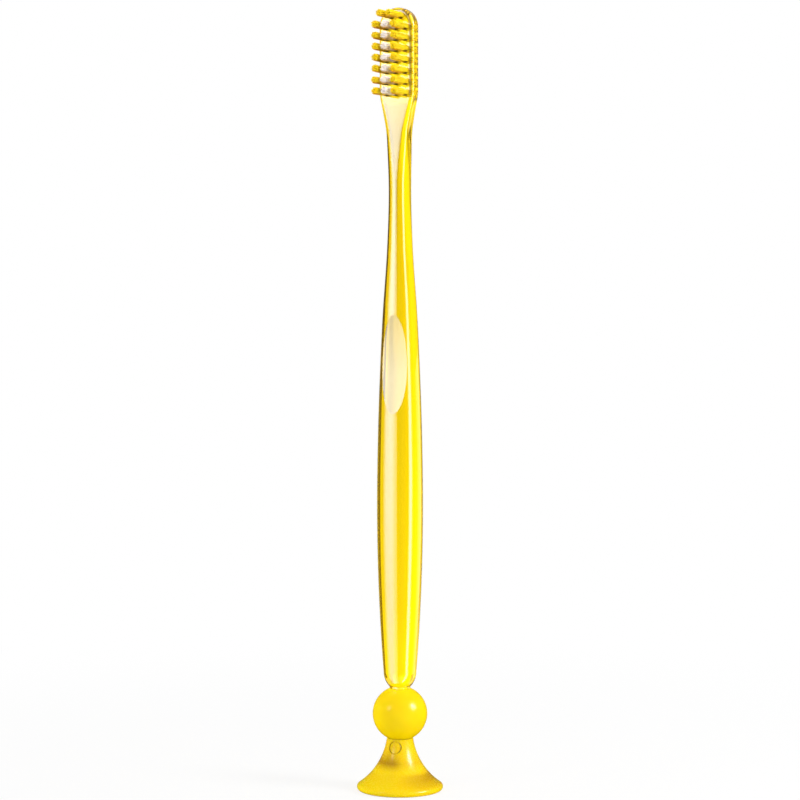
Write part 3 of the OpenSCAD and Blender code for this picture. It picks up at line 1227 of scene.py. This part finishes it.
def nylon(name, tint, other, under_painted_shade):
    """Bristles of one colour, with painted shade by their row and by how far they are from the plate.
    """
    finish = Finish(name, {
        "Subsurface Weight": 0.25, "Subsurface Radius": (1.0, 0.8, 0.4),
        "Subsurface Scale": 0.0004, "IOR": 1.53,
    })
    finish.drift(
        {"Tint": tint, "Other Tint": other, "Scale": 5200.0, "Stretch": (1, 0.03, 1)},
        {
            "Roughness": 0.35, "Rougher": 0.5, "Relief": 0.1, "Relief Height": 0.00002,
            "Scale": 4000.0, "Stretch": (1, 0.1, 1),
        },
    )
    x, y, z = finish.split(finish.place())
    inwards = finish.calc("ADD", y, FACE_OUT * MM)
    row = share_of_row(finish, z)
    # Painted shade on the lower side of each row.
    finish.lay(finish.span(row, ROW_SHADE), under_painted_shade)
    # Dark dashes of painted shade, low in each row and near the plate.
    near = finish.span(inwards, DASH_REACH, unit=MM)
    finish.lay(finish.calc("MULTIPLY", finish.span(row, DASH_SHADE), near), DASH_PAINTED_SHADE)
    # Painted shade on the roots inside the holes.
    finish.lay(finish.span(inwards, ROOT_SHADE, unit=MM), ROOT_PAINTED_SHADE)
    # Painted shade at the mouths of the holes.
    finish.lay(finish.span(finish.calc("ABSOLUTE", inwards), MOUTH_SHADE, unit=MM), MOUTH_PAINTED_SHADE)
    return finish.material


yellow_nylon = nylon(
    "yellow_bristles", (1.0, 0.76, 0.002, 1), (0.93, 0.65, 0.0, 1), (0.66, 0.28, 0.0, 1)
)
white_nylon = nylon(
    "white_bristles", (1.0, 0.93, 0.86, 1), (0.94, 0.85, 0.77, 1), (0.62, 0.37, 0.14, 1)
)
for name, tuft in tufts.items():
    tuft.data.materials.append(white_nylon if name.endswith("middle") else yellow_nylon)
print("bristle materials:", yellow_nylon.name, white_nylon.name)


# %% [markdown]
# ## Anchors
#
# The anchors are stamped from a thin strip of nickel silver. They are the CAD solids, seen
# only as small bright plates inside the clear head, so new meshes would add nothing, and a
# brushed metal is all they need.

# %% Anchor material
def strip_metal():
    """Rolled strip, brushed along the height."""
    finish = Finish("anchor_metal", {"Metallic": 1.0})
    finish.drift(
        {
            "Tint": (0.72, 0.62, 0.42, 1), "Other Tint": (0.62, 0.52, 0.34, 1),
            "Scale": 900.0, "Stretch": (1, 1, 0.2),
        },
        {
            "Roughness": 0.25, "Rougher": 0.42, "Relief": 0.3, "Relief Height": 0.00001,
            "Scale": 6000.0, "Stretch": (1, 1, 0.05),
        },
    )
    return finish.material


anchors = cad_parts["tuft_anchors"]
anchors.data.materials.clear()
anchors.data.materials.append(strip_metal())
print("anchors:", anchors.name)


# %% [markdown]
# ## The studio
#
# Clear plastic shows only what stands round it. The photo's handle has a broad pale band on its
# left, a thin bright line on its right, golden light straight through it and a dark left edge.
# A plain white world would leave it flat. So the world gives each direction its own brightness
# for light that has come through the plastic, and stays white for the camera.

# %% Directions as the camera sees them
HIGH_SPREAD = 0.5
HIGH_TURN = 15 * DEG


def round_the_brush(graph, place):
    """Angle of a place round the brush, right of straight behind it, and its height."""
    inputs = {"Vector": place, "Angle": -CAMERA_AZIMUTH}
    turn = graph.add("VectorRotate", inputs, rotation_type="Z_AXIS")
    x, y, z = graph.split(turn.outputs["Vector"])
    return graph.calc("ARCTAN2", x, y), z


def lifted(graph, angle, lift):
    """An angle as the bands show it: wider apart and turned where the light goes up."""
    wider = graph.calc("ADD", graph.calc("MULTIPLY", lift, HIGH_SPREAD), 1)
    shift = graph.calc("MULTIPLY", lift, HIGH_TURN)
    return graph.calc("SUBTRACT", graph.calc("MULTIPLY", angle, wider), shift)


def bare_graph(owner):
    """The emptied node tree of a world or of a screen's material."""
    owner.use_nodes = True
    owner.node_tree.nodes.clear()
    return Graph(owner.node_tree)


print("the bands are turned", round(CAMERA_AZIMUTH / DEG), "degrees, to face the camera")

# %% World
THROUGH_STOPS = [
    (-180, 0.75), (-150, 0.9), (-100, 0.85), (-88, 0.45), (-78, 0.4), (-70, 0.48), (-63, 0.8),
    (-56, 0.86), (-36, 0.9), (-27, 0.85), (-20, 0.695), (-15, 0.635), (-11, 0.615), (-7, 0.58),
    (0, 0.535), (6, 0.56), (8.5, 0.52), (13, 0.435), (17, 0.345), (24, 0.33), (29, 0.4),
    (35, 0.51), (40, 0.575), (92, 0.5), (120, 0.5), (180, 0.75),
]
THROUGH_STRENGTH = 2.2
HIGH_SKY = (-0.075, 0.015)
STEEP = (0.3, 0.5)
STEEP_GREY = (0.62, 0.62, 0.62, 1)
REFLECTED = 0.05
AMBIENT = 0.77


def make_world():
    """White for the camera, plain for matt surfaces, dark for gloss, banded through plastic."""
    world = bpy.data.worlds.new("studio")
    bpy.context.scene.world = world
    graph = bare_graph(world)
    angle, height = round_the_brush(graph, graph.add("TexCoord").outputs["Generated"])
    shown = lifted(graph, angle, graph.span(height, HIGH_SKY))
    steep = graph.span(graph.calc("ABSOLUTE", height), STEEP)
    banded = graph.blend(steep, graph.ramp(shown, DEG, THROUGH_STOPS), STEEP_GREY)
    lights = {
        "Is Camera Ray": graph.glow("Background", WHITE),
        "Is Glossy Ray": graph.glow("Background", WHITE, REFLECTED),
        "Is Transmission Ray": graph.glow("Background", banded, THROUGH_STRENGTH),
    }
    rays = graph.add("LightPath").outputs
    whole = graph.glow("Background", WHITE, AMBIENT)
    for ray, light in lights.items():
        whole = graph.choose(rays[ray], whole, light)
    graph.add("OutputWorld", {"Surface": whole})
    return world


world = make_world()
print("world:", world.name)


# %% [markdown]
# ## Screens for the handle
#
# A photographer stands boards beside a glossy object, so that it mirrors long soft bands. Area
# lamps could do the same, but their edges are all equally sharp. A curved screen's light can
# follow the angle round the brush, soft on one side and sharp on the other. Three screens and
# two level cards are seen only in the handle's gloss, and a dark one only through its plastic.

# %% A curved screen
SCREEN_DISTANCE = 900.0
SCREEN_LOW = -1700.0
SCREEN_HIGH = 1500.0
SCREEN_SIDES = 360


def collect(name, pieces):
    """A collection that a lamp or a screen can be limited to."""
    collection = bpy.data.collections.new(name)
    for piece in pieces:
        collection.objects.link(piece)
    return collection


handle_only = collect("handle_reflections", [handle])


def for_handle(piece, name, material, through=False):
    """Names a screen and lets only the handle see it, in its gloss or through its plastic."""
    piece.name = name
    piece.data.materials.append(material)
    piece.visible_camera = False
    piece.visible_diffuse = False
    piece.visible_shadow = False
    piece.visible_glossy = not through
    piece.visible_transmission = through
    piece.light_linking.receiver_collection = handle_only
    return piece


def curved_screen(ends, low, top):
    """Part of a tall ring, between two angles as the camera sees them."""
    piece = start_ring(SCREEN_DISTANCE, low, SCREEN_SIDES, fill="NOTHING")

    def outside(place):
        turned = (math.atan2(place.x, place.y) + CAMERA_AZIMUTH) / DEG
        return not ends[0] <= (turned + 180) % 360 - 180 <= ends[1]

    select_where(piece, outside)
    bpy.ops.mesh.delete(type="VERT")
    bpy.ops.mesh.select_all(action="SELECT")
    extrude(0, 0, top - low)
    bpy.ops.object.mode_set(mode="OBJECT")
    return piece


print("screens stand", SCREEN_DISTANCE, "mm away")

# %% Bright screens
LEFT_STOPS = [
    (-163.5, 0.2), (-160, 0.3), (-156, 0.38), (-150, 0.52), (-143, 0.78), (-137, 0.93),
    (-130, 0.98), (-120, 0.97), (-111, 0.86), (-103, 0.68), (-98, 0.5), (-91, 0.2), (-83, 0.0),
]
LINE_STOPS = [(112, 0.0), (119, 0.25), (121.5, 1.0), (130.5, 1.0), (134, 0.35), (140, 0.0)]
EDGE_STOPS = [(40, 0.15), (48, 0.4), (54, 1.0), (66, 0.7), (78, 0.45), (84, 0.0)]
SCREEN_DIM = (-220.0, 190.0)


def screen_glow(name, stops, strength, foot_share=1.0, slant=0.0):
    """Light of a screen: banded by its angle, slanting with the height, dimmer at its foot."""
    material = bpy.data.materials.new(name)
    graph = bare_graph(material)
    angle, height = round_the_brush(graph, graph.place())
    shown = graph.calc("ADD", angle, graph.calc("MULTIPLY", height, slant))
    bright = graph.span(height, SCREEN_DIM, foot_share * strength, strength, unit=MM)
    glow = graph.glow("Emission", graph.ramp(shown, DEG, stops), bright)
    graph.add("OutputMaterial", {"Surface": glow})
    return material


def bright_screen(name, ends, top, **glow):
    """A curved screen that glows, for the handle's gloss."""
    return for_handle(curved_screen(ends, SCREEN_LOW, top), name, screen_glow(name, **glow))


screens = [
    bright_screen(
        "broad_screen", ends=(-163.5, -83), top=SCREEN_HIGH,
        stops=LEFT_STOPS, strength=12.0, foot_share=0.54,
    ),
    bright_screen(
        "line_screen", ends=(95, 155), top=SCREEN_HIGH,
        stops=LINE_STOPS, strength=8.6, slant=25 * DEG,
    ),
    bright_screen("edge_screen", ends=(40, 84), top=110.0, stops=EDGE_STOPS, strength=1.7),
]
print("bright screens:", [screen.name for screen in screens])

# %% Level cards
LEVEL_R = 4000.0
LEVEL_SIDES = 48
LEVEL_GLOW = 0.45


def level_card(name, height):
    """A level card far above or below, for reflections when the brush is seen from high up."""
    card = start_ring(LEVEL_R, height, LEVEL_SIDES)
    bpy.ops.object.mode_set(mode="OBJECT")
    material = bpy.data.materials.new(name)
    graph = bare_graph(material)
    graph.add("OutputMaterial", {"Surface": graph.glow("Emission", WHITE, LEVEL_GLOW)})
    return for_handle(card, name, material)


screens += [level_card("sky_card", SCREEN_HIGH), level_card("ground_card", SCREEN_LOW)]
print("with the cards:", len(screens))

# %% Dark screen
DARK_STOPS = [(51, 0.0), (54.5, 1.0), (68, 1.0), (80, 0.4), (92, 0.0)]
DARK_ENDS = (30, 95)
DARK_LIFT = (10.0, 146.0)
DARK_TOP = 205.0
DARK_LOW = -330.0
DARK_COLOUR = (0.05, 0.01, 0.02, 1)


def dark_card():
    """A dark band that lets light by elsewhere, and follows the same turn as the world."""
    material = bpy.data.materials.new("dark_card")
    graph = bare_graph(material)
    angle, height = round_the_brush(graph, graph.place())
    shown = lifted(graph, angle, graph.span(height, DARK_LIFT, unit=MM))
    mask = graph.ramp(shown, DEG, DARK_STOPS)
    clear = graph.add("BsdfTransparent").outputs["BSDF"]
    whole = graph.choose(mask, clear, graph.glow("Emission", DARK_COLOUR))
    graph.add("OutputMaterial", {"Surface": whole})
    return material


dark_screen = curved_screen(DARK_ENDS, DARK_LOW, DARK_TOP)
screens.append(for_handle(dark_screen, "dark_screen", dark_card(), through=True))
print("with the dark screen:", len(screens))


# %% [markdown]
# ## Floor and lamps
#
# The brush stands on white paper. A white backdrop could be lit until it burns out, but that
# light would fall on the brush too. Here the paper glows for the camera only, and less near the
# cup, where it keeps the shadow. The lamps are large and far off, as soft boxes are. The rim
# lamp lights only the ball and the cup, and the bristle lamp only the tufts.

# %% Floor
FLOOR_R = 1500.0
FLOOR_SIDES = 96
FLOOR_FADE = (60.0, 260.0)
FLOOR_GLOW = 0.8


def floor_paper():
    """Pale paper that glows for the camera, fully where the shadow has faded."""
    paper = Finish("floor_paper", {"Base Color": (0.95, 0.95, 0.95, 1), "Roughness": 0.9})
    away = paper.vector("LENGTH", paper.place())
    fade = paper.span(away, FLOOR_FADE, FLOOR_GLOW, unit=MM, interpolation_type="SMOOTHSTEP")
    share = paper.calc("MULTIPLY", fade, paper.add("LightPath").outputs["Is Camera Ray"])
    whole = paper.choose(share, paper.shader.outputs["BSDF"], paper.glow("Emission", WHITE))
    paper.feed(paper.tree.nodes["Material Output"].inputs["Surface"], whole)
    return paper.material


floor = start_ring(FLOOR_R, 0, FLOOR_SIDES)
bpy.ops.mesh.inset(thickness=(FLOOR_R - FLOOR_FADE[1]) * MM)
bpy.ops.object.mode_set(mode="OBJECT")
floor.name = "floor"
floor.data.materials.append(floor_paper())
floor.visible_glossy = False
floor.visible_transmission = False
print("floor:", floor.name)

# %% Lamps
LAMP_DISTANCE = 900.0
LAMP_AIM_Z = 60.0


def lamp(name, azimuth, elevation, size, watts):
    """A round soft lamp, aimed at the brush, placed by its direction right of the camera."""
    turn = azimuth * DEG + CAMERA_AZIMUTH
    rise = elevation * DEG
    aim = Vector((0, 0, LAMP_AIM_Z * MM))
    way = Vector((math.sin(turn) * math.cos(rise), -math.cos(turn) * math.cos(rise), math.sin(rise)))
    bpy.ops.object.light_add(type="AREA", location=aim + way * LAMP_DISTANCE * MM)
    light = bpy.context.object
    light.name = name
    light.rotation_euler = way.to_track_quat("Z", "Y").to_euler()
    light.data.shape = "DISK"
    light.data.size = size * MM
    light.data.energy = watts
    light.visible_camera = False
    light.visible_transmission = False
    return light


lamp("key_lamp", azimuth=66, elevation=26, size=330, watts=4.4)
lamp("fill_lamp", azimuth=-52, elevation=23, size=240, watts=0.5)
rim_lamp = lamp("rim_lamp", azimuth=-112, elevation=0, size=400, watts=6.2)
rim_lamp.light_linking.receiver_collection = collect("rim_light", [ball, cup])
rim_lamp.visible_glossy = False
bristle_lamp = lamp("bristle_lamp", azimuth=-14, elevation=46, size=300, watts=5.2)
bristle_lamp.light_linking.receiver_collection = collect("bristle_light", tufts.values())
print("lamps aimed at", LAMP_AIM_Z, "mm")


# %% [markdown]
# ## Join the pieces to their bodies
#
# Every finished piece rides on the body of its CAD node. When the brush is pulled out of the
# ball, or the ball turns on the cup, the pieces follow. Each piece is parented to its body's
# empty, and the CAD node that it stands for is hidden.

# %% Bodies and nodes
def dress(piece, body, node):
    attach(piece, body)
    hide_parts(node)


dress(handle, "brush", "handle")
dress(ball, "ball", "ball")
dress(cup, "foot", "suction_cup")
for name, tuft in tufts.items():
    dress(tuft, "brush", name)
handle.visible_shadow = False
print("pieces dressed:", 3 + len(tufts))

# %% Colour settings
bpy.context.scene.view_settings.view_transform = "Standard"
